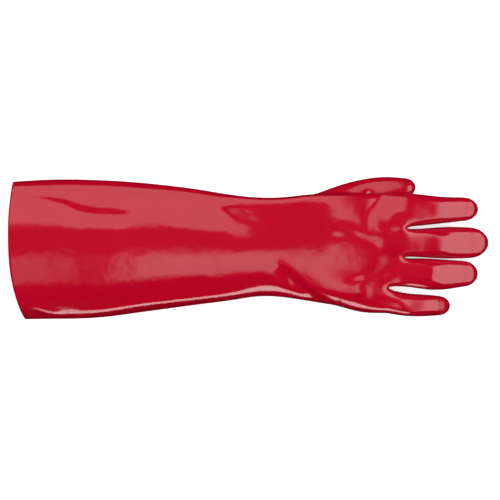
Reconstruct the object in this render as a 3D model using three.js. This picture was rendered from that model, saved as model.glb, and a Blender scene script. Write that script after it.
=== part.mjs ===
// PVC coated work glove: a long gauntlet for the right hand, lying on its palm with the thumb tucked beside it.
// A knitted liner and the coat that it was dipped in are bonded into one wall, so the glove is one hollow piece,
// open at the cuff. Millimetres. X runs from the cuff to the fingertips, Y from the little finger's side to the
// thumb's side, and Z is up from the table.
import * as THREE from "three";

// Driving sizes.
const SLEEVE_LENGTH = 371; // from the cuff's edge to the fork of the index and middle fingers
const CUFF_WIDTH = 129; // laid flat
const WRIST_WIDTH = 92;
const CUFF_HEIGHT = 38; // how far the open end stands off the table
const WRIST_HEIGHT = 31;
const HAND_HEIGHT = 34;
const CUFF_SKEW = 14; // how far the cut edge runs back at the little finger's side
const WALL = 1.4; // liner and coat together
const FINGER_GAP = 2; // between neighbouring fingers at their roots
const WEB_DEPTH = 2.5; // how far the web between two fingers stands proud of the valleys above and below it
const THUMB_WEB = 6; // from the thumb's fork to where the thumb is free all round
const LITTLE_SETBACK = 17; // the little finger forks off this much nearer to the wrist
const HAND_SHIFT = -3.2; // the hand's middle line against the cuff's

// The fingers, from the little finger to the index: width at the root, length from the fork, and thickness.
const LITTLE = { width: 23.3, length: 60, thickness: 18, tip: 11 };
const RING = { width: 25.9, length: 77.5, thickness: 21, tip: 14 };
const MIDDLE = { width: 25.4, length: 79, thickness: 22, tip: 18 };
const INDEX = { width: 32, length: 69, thickness: 21, tip: 14 };
const THUMB = { width: 25, length: 41.5, thickness: 15, tip: 10 };

// How finely the skin is divided.
const ROWS = 30; // from the cuff to the finger forks
const BACK_CELLS = 5; // across one finger's back
const SIDE_CELLS = 3; // down one side
const FINGER_ROWS = 6; // along a finger, up to its tip
const TIP_ROUNDS = [0.95, 0.82, 0.6, 0.34]; // widths of the rings that round off a tip, as shares of its own
const THUMB_FIRST_ROW = ROWS - 7; // the thumb leaves the palm between these rows
const THUMB_LAST_ROW = ROWS - 3;
const THUMB_ROOT_ROWS = 3; // from the palm to where the thumb is free
const THUMB_ROWS = 4;

const FINGER_WIDTHS = [LITTLE, RING, MIDDLE, INDEX].map((finger) => finger.width);
const HAND_WIDTH = FINGER_WIDTHS.reduce((sum, width) => sum + width, 3 * FINGER_GAP);

// Reads a short table: a row for each station, with named columns. Returns the smooth curve through each column.
function curves(columns, rows) {
  const stations = rows.map((row) => row[0]);
  const values = rows.flatMap((row) => row.slice(1));
  const spline = new THREE.CubicInterpolant(stations, values, columns.length, new Float64Array(columns.length));
  return (along) => {
    const found = spline.evaluate(THREE.MathUtils.clamp(along, stations[0], stations.at(-1)));
    return Object.fromEntries(columns.map((column, i) => [column, found[i]]));
  };
}

// The sleeve and hand. along is a share of SLEEVE_LENGTH. thumbSide and littleSide are the outline, top is the
// back's highest line, and thumbFold and littleFold are the heights of the two side folds. sag is how far the
// underside would hang below the table, which flattens it. hollow is how far the underside draws up towards the
// thumb's side, where the thumb lies beneath it.
const sleeveAt = curves(["thumbSide", "littleSide", "top", "thumbFold", "littleFold", "sag", "hollow"], [
  [0.0, 0.495 * CUFF_WIDTH, -0.506 * CUFF_WIDTH, 1.0 * CUFF_HEIGHT, 0.44 * CUFF_HEIGHT, 0.24 * CUFF_HEIGHT, 0.06 * CUFF_HEIGHT, 0],
  [0.1, 0.51 * CUFF_WIDTH, -0.503 * CUFF_WIDTH, 0.99 * CUFF_HEIGHT, 0.43 * CUFF_HEIGHT, 0.24 * CUFF_HEIGHT, 0.07 * CUFF_HEIGHT, 0],
  [0.228, 0.506 * CUFF_WIDTH, -0.493 * CUFF_WIDTH, 0.96 * CUFF_HEIGHT, 0.42 * CUFF_HEIGHT, 0.23 * CUFF_HEIGHT, 0.07 * CUFF_HEIGHT, 0],
  [0.329, 0.488 * CUFF_WIDTH, -0.456 * CUFF_WIDTH, 0.93 * CUFF_HEIGHT, 0.41 * CUFF_HEIGHT, 0.23 * CUFF_HEIGHT, 0.06 * CUFF_HEIGHT, 0],
  [0.404, 0.466 * CUFF_WIDTH, -0.427 * CUFF_WIDTH, 0.9 * CUFF_HEIGHT, 0.4 * CUFF_HEIGHT, 0.23 * CUFF_HEIGHT, 0.05 * CUFF_HEIGHT, 0],
  [0.481, 0.613 * WRIST_WIDTH, -0.557 * WRIST_WIDTH, 1.06 * WRIST_HEIGHT, 0.49 * WRIST_HEIGHT, 0.29 * WRIST_HEIGHT, 0.06 * WRIST_HEIGHT, 0],
  [0.557, 0.562 * WRIST_WIDTH, -0.518 * WRIST_WIDTH, 1.01 * WRIST_HEIGHT, 0.49 * WRIST_HEIGHT, 0.3 * WRIST_HEIGHT, 0.05 * WRIST_HEIGHT, 0],
  [0.633, 0.5315 * WRIST_WIDTH, -0.476 * WRIST_WIDTH, 1.0 * WRIST_HEIGHT, 0.5 * WRIST_HEIGHT, 0.31 * WRIST_HEIGHT, 0.04 * WRIST_HEIGHT, 0.1],
  [0.6965, 0.536 * WRIST_WIDTH, -0.483 * WRIST_WIDTH, 1.02 * WRIST_HEIGHT, 0.54 * WRIST_HEIGHT, 0.32 * WRIST_HEIGHT, 0.03 * WRIST_HEIGHT, 0.3],
  [0.76, 0.46 * HAND_WIDTH, -0.4185 * HAND_WIDTH, 0.96 * HAND_HEIGHT, 0.55 * HAND_HEIGHT, 0.31 * HAND_HEIGHT, 0.02 * HAND_HEIGHT, 0.7],
  [0.823, 0.464 * HAND_WIDTH, -0.446 * HAND_WIDTH, 0.99 * HAND_HEIGHT, 0.6 * HAND_HEIGHT, 0.33 * HAND_HEIGHT, 0, 1],
  [0.886, 0.464 * HAND_WIDTH, -0.474 * HAND_WIDTH, 1.0 * HAND_HEIGHT, 0.64 * HAND_HEIGHT, 0.36 * HAND_HEIGHT, -0.03 * HAND_HEIGHT, 1],
  [0.95, 0.468 * HAND_WIDTH, -0.51 * HAND_WIDTH, 0.96 * HAND_HEIGHT, 0.63 * HAND_HEIGHT, 0.37 * HAND_HEIGHT, -0.08 * HAND_HEIGHT, 1],
  [1.0, 0.4713 * HAND_WIDTH, -0.5285 * HAND_WIDTH, 0.92 * HAND_HEIGHT, 0.6 * HAND_HEIGHT, 0.38 * HAND_HEIGHT, -0.12 * HAND_HEIGHT, 1],
]);
const BACK_ROUND = 2.3; // superellipse exponents of the sleeve's section: its back,
const UNDER_ROUND = 3; // its flattened underside,
const HOLLOW_ROUND = 1.45; // and the underside where it is drawn up over the thumb
const SIDE_FROM = 0.965; // the side folds start this far out, as a share of the half-width

// Each finger. along runs from its root to where its tip starts to round. drift is a share of its width, towards
// the thumb's side. width and thickness are shares of its own, and rise is the height of its middle line, as a share
// of its thickness.
const FINGER_COLUMNS = ["drift", "width", "rise", "thickness"];
const fingers = [
  { ...LITTLE, setback: LITTLE_SETBACK, at: curves(FINGER_COLUMNS, [
    [0, 0, 1, 0.78, 1],
    [0.33, -0.14, 0.927, 0.75, 0.98],
    [0.78, -0.19, 0.867, 0.56, 0.92],
    [1, -0.2, 0.79, 0.41, 0.83],
  ]) },
  { ...RING, setback: LITTLE_SETBACK / 2, at: curves(FINGER_COLUMNS, [
    [0, 0, 1, 0.83, 1],
    [0.3, -0.01, 1.05, 0.78, 0.99],
    [0.57, -0.075, 1.12, 0.67, 0.95],
    [1, -0.05, 0.942, 0.42, 0.83],
  ]) },
  { ...MIDDLE, setback: 0, at: curves(FINGER_COLUMNS, [
    [0, 0, 1, 0.86, 1],
    [0.28, 0, 1.07, 0.8, 0.99],
    [0.55, 0.005, 1.16, 0.67, 0.95],
    [1, 0.005, 1.15, 0.41, 0.81],
  ]) },
  { ...INDEX, setback: 0, at: curves(FINGER_COLUMNS, [
    [0, 0, 1, 0.98, 1],
    [0.28, 0, 0.9125, 0.92, 0.99],
    [0.6, 0, 0.794, 0.8, 0.95],
    [1, 0.03, 0.7, 0.59, 0.81],
  ]) },
];

// The thumb, from where it comes free of the palm. middle is a share of HAND_WIDTH from the cuff's middle line.
const thumbAt = curves(["middle", "width", "rise", "thickness"], [
  [0, 0.493, 1, 0.5, 1],
  [0.4, 0.508, 0.96, 0.5, 0.99],
  [0.75, 0.515, 0.83, 0.5, 0.95],
  [1, 0.52, 0.71, 0.48, 0.9],
]);

// Folds and dents in the glove's back. Each runs from one point to another: along is a share of SLEEVE_LENGTH, and
// across runs from -1 at the little finger's side to 1 at the thumb's. reach is the half-width as a share of
// WRIST_WIDTH, and lift is a share of WRIST_HEIGHT: a valley's is below zero.
const FOLDS = [
  { fold: "valley along the sleeve", from: [0.05, 0.69], to: [0.36, 0.56], reach: 0.075, lift: -0.05 },
  { fold: "dent by the cuff", from: [0.1, -0.32], to: [0.13, -0.4], reach: 0.12, lift: -0.05 },
  { fold: "ridge at the little finger's side", from: [0.02, -0.9], to: [0.55, -0.93], reach: 0.05, lift: 0.05 },
  { fold: "tuck below the wrist", from: [0.72, -0.62], to: [0.8, -0.88], reach: 0.09, lift: -0.11 },
  { fold: "brow above the tuck", from: [0.68, -0.2], to: [0.82, -0.66], reach: 0.1, lift: 0.06 },
  { fold: "hollow of the hand's back", from: [0.78, 0.3], to: [0.86, 0.12], reach: 0.12, lift: -0.05 },
  { fold: "hollow before the index knuckle", from: [0.93, 0.7], to: [0.92, 0.28], reach: 0.06, lift: -0.05 },
  { fold: "index knuckle", from: [0.97, 0.62], to: [0.97, 0.5], reach: 0.12, lift: 0.06 },
  { fold: "hollow before the little finger", from: [0.9, -0.62], to: [0.98, -0.66], reach: 0.08, lift: -0.07 },
];

const { smootherstep, lerp, degToRad } = THREE.MathUtils;
const sleeveEdges = (along) => {
  const s = sleeveAt(along);
  return { middle: (s.thumbSide + s.littleSide) / 2, half: (s.thumbSide - s.littleSide) / 2 };
};
const placed = ([along, across]) => {
  const edges = sleeveEdges(along);
  return new THREE.Vector2(along * SLEEVE_LENGTH, edges.middle + across * edges.half);
};
const foldLines = FOLDS.map((row) => ({ ...row, start: placed(row.from), end: placed(row.to) }));

// How far the folds lift the glove's back at a point seen from above.
function foldLift(x, y) {
  let lift = 0;
  for (const line of foldLines) {
    const run = line.end.clone().sub(line.start);
    const share = THREE.MathUtils.clamp(new THREE.Vector2(x, y).sub(line.start).dot(run) / run.lengthSq(), 0, 1);
    const away = new THREE.Vector2(x, y).distanceTo(line.start.clone().addScaledVector(run, share));
    lift += line.lift * WRIST_HEIGHT * Math.exp(-((away / (line.reach * WRIST_WIDTH)) ** 2));
  }
  return lift;
}

// A ring of points round a section runs over its back to the thumb's side, down that side, along the underside and
// up the little finger's side. These are its directions, in degrees from the thumb's side.
const BACK_END = 30;
const steps = (count, from, to) => Array.from({ length: count }, (_, i) => lerp(from, to, i / (count - 1)));
const inner = (list) => list.slice(1, -1);
const RING_DIRECTIONS = [
  ...steps(BACK_CELLS + 1, 180 - BACK_END, BACK_END),
  ...inner(steps(SIDE_CELLS + 1, BACK_END, -BACK_END)),
  ...steps(BACK_CELLS + 1, -BACK_END, BACK_END - 180),
  ...inner(steps(SIDE_CELLS + 1, BACK_END - 180, -BACK_END - 180)),
];

// One finger's section at a share of its straight part, as [y, z] round its ring.
function fingerSection(finger, along) {
  const f = finger.at(along);
  const middle = finger.middle + f.drift * finger.width;
  const rise = f.rise * finger.thickness;
  return RING_DIRECTIONS.map((direction) => [
    middle + (Math.cos(degToRad(direction)) * f.width * finger.width) / 2,
    rise + (Math.sin(degToRad(direction)) * f.thickness * finger.thickness) / 2,
  ]);
}

// The fingers stand side by side across the hand, the little finger first.
let side = HAND_SHIFT - HAND_WIDTH / 2;
for (const finger of fingers) {
  finger.middle = side + finger.width / 2;
  side += finger.width + FINGER_GAP;
}

// The forks between the fingers, and the hand's last ring, whose back and underside show the four finger roots.
const BACK_POINTS = fingers.length * BACK_CELLS + 1;
const SIDE_POINTS = SIDE_CELLS - 1;
const RING_POINTS = 2 * BACK_POINTS + 2 * SIDE_POINTS;
const forkX = [SLEEVE_LENGTH - LITTLE_SETBACK, SLEEVE_LENGTH - WEB_DEPTH, SLEEVE_LENGTH];
const rootSections = fingers.map((finger) => fingerSection(finger, 0));
const between = (a, b) => [(a[0] + b[0]) / 2, (a[1] + b[1]) / 2];
const underStart = BACK_CELLS + 1 + SIDE_POINTS;

// The point of the finger roots at a place across the back, or across the underside.
function rootPoint(column, under) {
  const finger = Math.min(Math.floor(column / BACK_CELLS), fingers.length - 1);
  const j = column - finger * BACK_CELLS;
  const index = (cell) => (under ? underStart + BACK_CELLS - cell : cell);
  const own = rootSections[finger][index(j)];
  return j === 0 && finger > 0 ? between(own, rootSections[finger - 1][index(BACK_CELLS)]) : own;
}

// Where the fork line lies at a place across the hand.
function forkAt(column) {
  const place = column / BACK_CELLS - 1;
  const low = THREE.MathUtils.clamp(Math.floor(place), 0, forkX.length - 2);
  return lerp(forkX[low], forkX[low + 1], smootherstep(place - low, 0, 1));
}

// Round the hand's last ring: its places across, and its points at the finger roots.
const ringPlaces = [];
for (let column = 0; column < BACK_POINTS; column++) ringPlaces.push({ column, part: "back" });
for (let k = 1; k <= SIDE_POINTS; k++) ringPlaces.push({ column: BACK_POINTS - 1, part: "thumbSide", k });
for (let column = BACK_POINTS - 1; column >= 0; column--) ringPlaces.push({ column, part: "under" });
for (let k = 1; k <= SIDE_POINTS; k++) ringPlaces.push({ column: 0, part: "littleSide", k });
for (const place of ringPlaces) {
  if (place.part === "thumbSide") place.root = rootSections.at(-1)[BACK_CELLS + place.k];
  else if (place.part === "littleSide") place.root = rootSections[0][underStart + BACK_CELLS + place.k];
  else place.root = rootPoint(place.column, place.part === "under");
  place.across = (place.root[0] - HAND_SHIFT) / (HAND_WIDTH / 2);
  place.forkX = forkAt(place.column);
  const onFork = place.column % BACK_CELLS === 0 && place.column > 0 && place.column < BACK_POINTS - 1;
  if (onFork) place.forkX -= WEB_DEPTH;
}

// How far a superellipse of unit size stands off its middle line at a place across.
const bulge = (across, round) => Math.max(0, 1 - Math.abs(across) ** round) ** (1 / round);

// The sleeve's plain section at a share of its length, as [y, z] for one place of the ring.
function sleevePoint(place, along) {
  const s = sleeveAt(along);
  const { middle, half } = sleeveEdges(along);
  const edge = place.column === 0 ? -SIDE_FROM : SIDE_FROM;
  const onSide = place.part === "thumbSide" || place.part === "littleSide";
  const across = onSide ? edge : THREE.MathUtils.clamp(place.across, -SIDE_FROM, SIDE_FROM);
  const fold = lerp(s.littleFold, s.thumbFold, (across + 1) / 2);
  const hollow = s.hollow * THREE.MathUtils.smoothstep(across, 0.1, 0.6);
  const underRound = lerp(UNDER_ROUND, HOLLOW_ROUND, hollow);
  const up = (s.top - fold) * bulge(across, BACK_ROUND);
  const down = (fold + s.sag) * bulge(across, underRound);
  if (place.part === "back") return [middle + across * half, fold + up];
  if (place.part === "under") return [middle + across * half, fold - down];
  const share = place.k / SIDE_CELLS;
  const drop = place.part === "thumbSide" ? share : 1 - share;
  const out = Math.sqrt(1 - (2 * drop - 1) ** 2);
  return [middle + edge * half * lerp(1, 1 / Math.abs(edge), out), fold + lerp(up, -down, drop)];
}

// How far back the cuff is cut: most at the little finger's side, and least at the crest of the back. The underside
// is cut straight.
const CREST = 0.28; // where the cut edge reaches furthest, across the back
const THUMB_SKEW = 0.24 * CUFF_SKEW;
function cuffCut(place) {
  if (place.part !== "back") return lerp(CUFF_SKEW, THUMB_SKEW, (place.across + 1) / 2);
  const fromCrest = place.across - CREST;
  const share = Math.abs(fromCrest) / (1 + Math.sign(-fromCrest) * CREST);
  return fromCrest > 0 ? THUMB_SKEW * share ** 2 : CUFF_SKEW * share ** 2.6;
}

// The skin is a list of points and of four-sided faces. A point keeps whether it lies on the glove's back.
const points = [];
const faces = [];
const addPoint = (x, y, z) => points.push(new THREE.Vector3(x, y, Math.max(z, 0))) - 1;
const addFace = (...corners) => faces.push(corners);
function joinRings(a, b) {
  for (let i = 0; i < a.length; i++) {
    const next = (i + 1) % a.length;
    addFace(a[i], b[i], b[next], a[next]);
  }
}

// The sleeve and hand, from the cuff to the forks. Shares of the way along:
const CUT_FADES_AT = 0.16; // the rows stand square to the sleeve from here
const FORKS_FROM = 0.55; // and start to follow the slant of the finger forks from here
const BACK_LOBES_FROM = 0.84; // the finger roots start to show on the back from here,
const UNDER_LOBES_FROM = 0.89; // and on the underside from here

// The ring's places that the thumb's hole takes up.
const thumbColumns = { first: BACK_POINTS + SIDE_POINTS - 1, cells: BACK_CELLS };
const inThumbHole = (row, i) =>
  row > THUMB_FIRST_ROW && row < THUMB_LAST_ROW && i > thumbColumns.first && i < thumbColumns.first + thumbColumns.cells;
const sleeveRows = [];
for (let row = 0; row <= ROWS; row++) {
  const along = row / ROWS;
  const backLobes = smootherstep(along, BACK_LOBES_FROM, 1);
  const underLobes = smootherstep(along, UNDER_LOBES_FROM, 1);
  sleeveRows.push(ringPlaces.map((place, i) => {
    if (inThumbHole(row, i)) return -1;
    const plain = sleevePoint(place, along);
    const cut = cuffCut(place) * (1 - smootherstep(along, 0, CUT_FADES_AT));
    const x = along * SLEEVE_LENGTH + cut + smootherstep(along, FORKS_FROM, 1) * (place.forkX - SLEEVE_LENGTH);
    const y = lerp(plain[0], place.root[0], backLobes);
    const z = lerp(plain[1], place.root[1], place.part === "under" ? underLobes : backLobes);
    return addPoint(x, y, place.part === "back" ? z + foldLift(x, y) : z);
  }));
}
for (let row = 0; row < ROWS; row++) {
  const [a, b] = [sleeveRows[row], sleeveRows[row + 1]];
  for (let i = 0; i < RING_POINTS; i++) {
    const next = (i + 1) % RING_POINTS;
    const overThumb = i >= thumbColumns.first && i < thumbColumns.first + thumbColumns.cells;
    if (overThumb && row >= THUMB_FIRST_ROW && row < THUMB_LAST_ROW) continue;
    addFace(a[i], b[i], b[next], a[next]);
  }
}

// Each fork has a web: points between the back and the underside that both neighbouring fingers use.
const webs = forkX.map((x, fork) => Array.from({ length: SIDE_POINTS }, (_, k) => {
  const [y, z] = between(
    rootSections[fork][BACK_CELLS + 1 + k],
    rootSections[fork + 1][underStart + BACK_CELLS + SIDE_POINTS - k],
  );
  return addPoint(x, y, z);
}));

// Points in the forks, and the way from each to the wall's inner face, in walls.
const THUMB_FORK_BACK = new THREE.Vector3(-1.2, 0, 0.7);
const THUMB_CORNER_BACK = new THREE.Vector3(-1.2, -0.8, 0.4);
const forkPoints = webs.flat().map((point) => ({ point, back: new THREE.Vector3(-1, 0, 0) }));

// The first ring of a finger, out of the hand's last ring and the webs beside it.
function rootRing(finger) {
  const last = sleeveRows[ROWS];
  const back = last.slice(finger * BACK_CELLS, (finger + 1) * BACK_CELLS + 1);
  const underFirst = BACK_POINTS + SIDE_POINTS + (fingers.length - 1 - finger) * BACK_CELLS;
  const under = last.slice(underFirst, underFirst + BACK_CELLS + 1);
  const thumbSide = webs[finger] ?? last.slice(BACK_POINTS, BACK_POINTS + SIDE_POINTS);
  const littleSide = finger ? [...webs[finger - 1]].reverse() : last.slice(2 * BACK_POINTS + SIDE_POINTS);
  return [...back, ...thumbSide, ...under, ...littleSide];
}

// Closes a tip: the last ring is filled with a small curved patch of faces.
function closeTip(ring, backCells, sideCells, middle, halfWidth, halfHeight, reach, flip) {
  const at = (i) => points[ring[(i + ring.length) % ring.length]];
  const grid = [];
  for (let m = 0; m <= sideCells; m++) {
    grid.push([]);
    for (let j = 0; j <= backCells; j++) {
      if (m === 0) grid[m].push(ring[j]);
      else if (m === sideCells) grid[m].push(ring[2 * backCells + sideCells - j]);
      else if (j === 0) grid[m].push(ring[(ring.length - m) % ring.length]);
      else if (j === backCells) grid[m].push(ring[backCells + m]);
      else {
        const down = at(j).clone().lerp(at(2 * backCells + sideCells - j), m / sideCells);
        const over = at(ring.length - m).clone().lerp(at(backCells + m), j / backCells);
        const p = down.add(over).multiplyScalar(0.5);
        const off = Math.hypot((p.y - middle.y) / halfWidth, (p.z - middle.z) / halfHeight);
        grid[m].push(addPoint(middle.x + reach * bulge(Math.min(off, 1), 2), p.y, p.z));
      }
    }
  }
  for (let m = 0; m < sideCells; m++)
    for (let j = 0; j < backCells; j++) {
      const corners = [grid[m][j], grid[m + 1][j], grid[m + 1][j + 1], grid[m][j + 1]];
      addFace(...(flip ? corners.reverse() : corners));
    }
}

// A finger, from its root ring to its closed tip.
function addFinger(finger, number) {
  const root = rootRing(number);
  const tipX = SLEEVE_LENGTH - finger.setback + finger.length;
  const tipBase = tipX - finger.tip;
  let last = root;
  for (let row = 1; row <= FINGER_ROWS; row++) {
    const along = row / FINGER_ROWS;
    const section = fingerSection(finger, along);
    const ring = section.map(([y, z], i) => addPoint(lerp(points[root[i]].x, tipBase, along), y, z));
    joinRings(last, ring);
    last = ring;
  }
  const end = finger.at(1);
  const middle = new THREE.Vector3(tipBase, finger.middle + end.drift * finger.width, end.rise * finger.thickness);
  const base = fingerSection(finger, 1);
  for (const round of TIP_ROUNDS) {
    const x = tipBase + finger.tip * bulge(round, 2);
    const ring = base.map(([y, z]) => addPoint(x, lerp(middle.y, y, round), lerp(middle.z, z, round)));
    joinRings(last, ring);
    last = ring;
  }
  const half = [(end.width * finger.width) / 2, (end.thickness * finger.thickness) / 2];
  closeTip(last, BACK_CELLS, SIDE_CELLS, middle, ...half, finger.tip, false);
}
fingers.forEach(addFinger);

// The thumb leaves through a four-sided hole in the palm's underside, below the hand's thumb-side fold.
function addThumb() {
  const rows = THUMB_LAST_ROW - THUMB_FIRST_ROW;
  const { first, cells } = thumbColumns;
  for (let c = 0; c <= cells; c++) {
    const back = c ? THUMB_FORK_BACK : THUMB_CORNER_BACK;
    forkPoints.push({ point: sleeveRows[THUMB_LAST_ROW][first + c], back });
  }
  const hole = [];
  for (let r = 0; r < rows; r++) hole.push(sleeveRows[THUMB_FIRST_ROW + r][first]);
  for (let c = 0; c < cells; c++) hole.push(sleeveRows[THUMB_LAST_ROW][first + c]);
  for (let r = rows; r > 0; r--) hole.push(sleeveRows[THUMB_FIRST_ROW + r][first + cells]);
  for (let c = cells; c > 0; c--) hole.push(sleeveRows[THUMB_FIRST_ROW][first + c]);
  const freeX = (THUMB_LAST_ROW / ROWS) * SLEEVE_LENGTH + THUMB_WEB;
  const tipBase = freeX + THUMB.length - THUMB.tip;
  const section = (along) => {
    const t = thumbAt(along);
    return hole.map((_, i) => {
      const direction = degToRad(10 + (360 * i) / hole.length);
      return [
        t.middle * HAND_WIDTH + (Math.cos(direction) * t.width * THUMB.width) / 2,
        t.rise * THUMB.thickness + (Math.sin(direction) * t.thickness * THUMB.thickness) / 2,
      ];
    });
  };
  const free = section(0);
  let last = hole;
  for (let row = 1; row <= THUMB_ROOT_ROWS; row++) {
    const share = row / THUMB_ROOT_ROWS;
    const swell = Math.sin((share * Math.PI) / 2);
    const ring = hole.map((from, i) => addPoint(
      lerp(points[from].x, freeX, share),
      lerp(points[from].y, free[i][0], swell),
      lerp(points[from].z, free[i][1], swell),
    ));
    joinRings(ring, last);
    last = ring;
  }
  for (let row = 1; row <= THUMB_ROWS; row++) {
    const along = row / THUMB_ROWS;
    const ring = section(along).map(([y, z]) => addPoint(lerp(freeX, tipBase, along), y, z));
    joinRings(ring, last);
    last = ring;
  }
  const end = thumbAt(1);
  const middle = new THREE.Vector3(tipBase, end.middle * HAND_WIDTH, end.rise * THUMB.thickness);
  for (const round of TIP_ROUNDS) {
    const x = tipBase + THUMB.tip * bulge(round, 2);
    const ring = section(1).map(([y, z]) => addPoint(x, lerp(middle.y, y, round), lerp(middle.z, z, round)));
    joinRings(ring, last);
    last = ring;
  }
  const half = [(end.width * THUMB.width) / 2, (end.thickness * THUMB.thickness) / 2];
  closeTip(last, rows, cells, middle, ...half, THUMB.tip, true);
}
addThumb();

// The wall: the skin, a copy of it set in by the wall's thickness, and the cut edge of the cuff between them.
function wallGeometry() {
  const normals = points.map(() => new THREE.Vector3());
  const triangles = faces.flatMap(([a, b, c, d]) => [[a, b, c], [a, c, d]]);
  for (const [a, b, c] of triangles) {
    const u = points[b].clone().sub(points[a]);
    const v = points[c].clone().sub(points[a]);
    const area = u.cross(v);
    for (const corner of [a, b, c]) normals[corner].add(area);
  }
  const ways = normals.map((normal) => normal.normalize().negate());
  for (const { point, back } of forkPoints) ways[point].copy(back);
  const inside = points.map((p, i) => p.clone().addScaledVector(ways[i], WALL));
  for (const i of sleeveRows[0]) inside[i].x = points[i].x;
  const positions = [...points, ...inside].flatMap((p) => p.toArray());
  const index = triangles.flat();
  for (const [a, b, c] of triangles) index.push(a + points.length, c + points.length, b + points.length);
  const rim = sleeveRows[0];
  rim.forEach((a, i) => {
    const b = rim[(i + 1) % rim.length];
    index.push(a, b, a + points.length, b, b + points.length, a + points.length);
  });
  return new THREE.BufferGeometry()
    .setAttribute("position", new THREE.Float32BufferAttribute(positions, 3))
    .setIndex(index);
}

const shell = new THREE.Mesh(
  wallGeometry(),
  new THREE.MeshStandardMaterial({ color: 0xb80024, roughness: 0.25, metalness: 0 }),
);
shell.name = "coated_shell";

// The origin is on the table under the middle of the glove.
const glove = new THREE.Group();
glove.add(shell);
const box = new THREE.Box3().setFromObject(shell);
const centre = box.getCenter(new THREE.Vector3());
shell.position.set(-centre.x, -centre.y, -box.min.z);

export default glove;
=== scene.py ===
import math
import bpy
import numpy as np
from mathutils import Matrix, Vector


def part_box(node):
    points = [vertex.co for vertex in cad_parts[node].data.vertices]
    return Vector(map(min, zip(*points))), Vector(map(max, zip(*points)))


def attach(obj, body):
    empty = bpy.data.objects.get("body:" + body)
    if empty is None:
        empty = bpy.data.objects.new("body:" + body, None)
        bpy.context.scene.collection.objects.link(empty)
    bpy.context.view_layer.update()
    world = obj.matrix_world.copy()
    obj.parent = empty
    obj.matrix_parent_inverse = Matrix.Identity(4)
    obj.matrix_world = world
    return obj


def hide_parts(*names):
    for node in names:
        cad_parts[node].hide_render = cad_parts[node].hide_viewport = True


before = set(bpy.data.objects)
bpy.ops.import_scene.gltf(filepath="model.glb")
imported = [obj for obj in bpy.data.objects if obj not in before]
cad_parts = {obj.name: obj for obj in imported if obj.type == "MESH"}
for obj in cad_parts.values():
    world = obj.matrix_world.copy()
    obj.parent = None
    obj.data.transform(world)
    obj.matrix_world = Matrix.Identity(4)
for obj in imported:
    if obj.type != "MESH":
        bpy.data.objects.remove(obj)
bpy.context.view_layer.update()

# The gauntlet: a knitted cotton liner that was dipped in red PVC on a hand-shaped former, so cuff, sleeve, hand,
# fingers and thumb are one seamless skin. Its outside is drawn as a coarse net of four-sided faces, ring by ring from
# the cuff, in millimetres, with X from the cuff to the fingertips and Y towards the thumb's side.
SLEEVE_LENGTH = 371.0  # from the cuff's edge to the fork of the index and middle fingers
CUFF_WIDTH = 129.0
WRIST_WIDTH = 92.0
CUFF_HEIGHT = 38.0
WRIST_HEIGHT = 31.0
HAND_HEIGHT = 34.0
HAND_SHIFT = -3.2  # Y of the line down the middle of the finger roots
FINGER_GAP = 2.0
WEB_DEPTH = 2.5
LITTLE_SETBACK = 17.0
FINGERS = [
    {"name": "little", "width": 23.3, "length": 60.0, "thickness": 18.0, "tip": 11.0, "setback": LITTLE_SETBACK},
    {"name": "ring", "width": 25.9, "length": 77.5, "thickness": 21.0, "tip": 14.0, "setback": LITTLE_SETBACK / 2},
    {"name": "middle", "width": 25.4, "length": 79.0, "thickness": 22.0, "tip": 18.0, "setback": 0.0},
    {"name": "index", "width": 32.0, "length": 69.0, "thickness": 21.0, "tip": 14.0, "setback": 0.0},
]
HAND_WIDTH = sum(finger["width"] for finger in FINGERS) + (len(FINGERS) - 1) * FINGER_GAP


def smooth_curves(columns, rows):
    """A natural cubic spline through each named column of a short table."""
    table = np.array(rows, dtype=float)
    stations, values = table[:, 0], table[:, 1:]
    step = np.diff(stations)
    system = np.eye(len(stations))
    right = np.zeros_like(values)
    for i in range(1, len(stations) - 1):
        system[i, i - 1 : i + 2] = step[i - 1], 2 * (step[i - 1] + step[i]), step[i]
        right[i] = 6 * ((values[i + 1] - values[i]) / step[i] - (values[i] - values[i - 1]) / step[i - 1])
    bend = np.linalg.solve(system, right)

    def at(along):
        along = min(max(along, stations[0]), stations[-1])
        i = min(int(np.searchsorted(stations, along, side="right")) - 1, len(step) - 1)
        a = (stations[i + 1] - along) / step[i]
        b = 1 - a
        row = a * values[i] + b * values[i + 1]
        row = row + ((a**3 - a) * bend[i] + (b**3 - b) * bend[i + 1]) * step[i] ** 2 / 6
        return dict(zip(columns, row))

    return at


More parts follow.
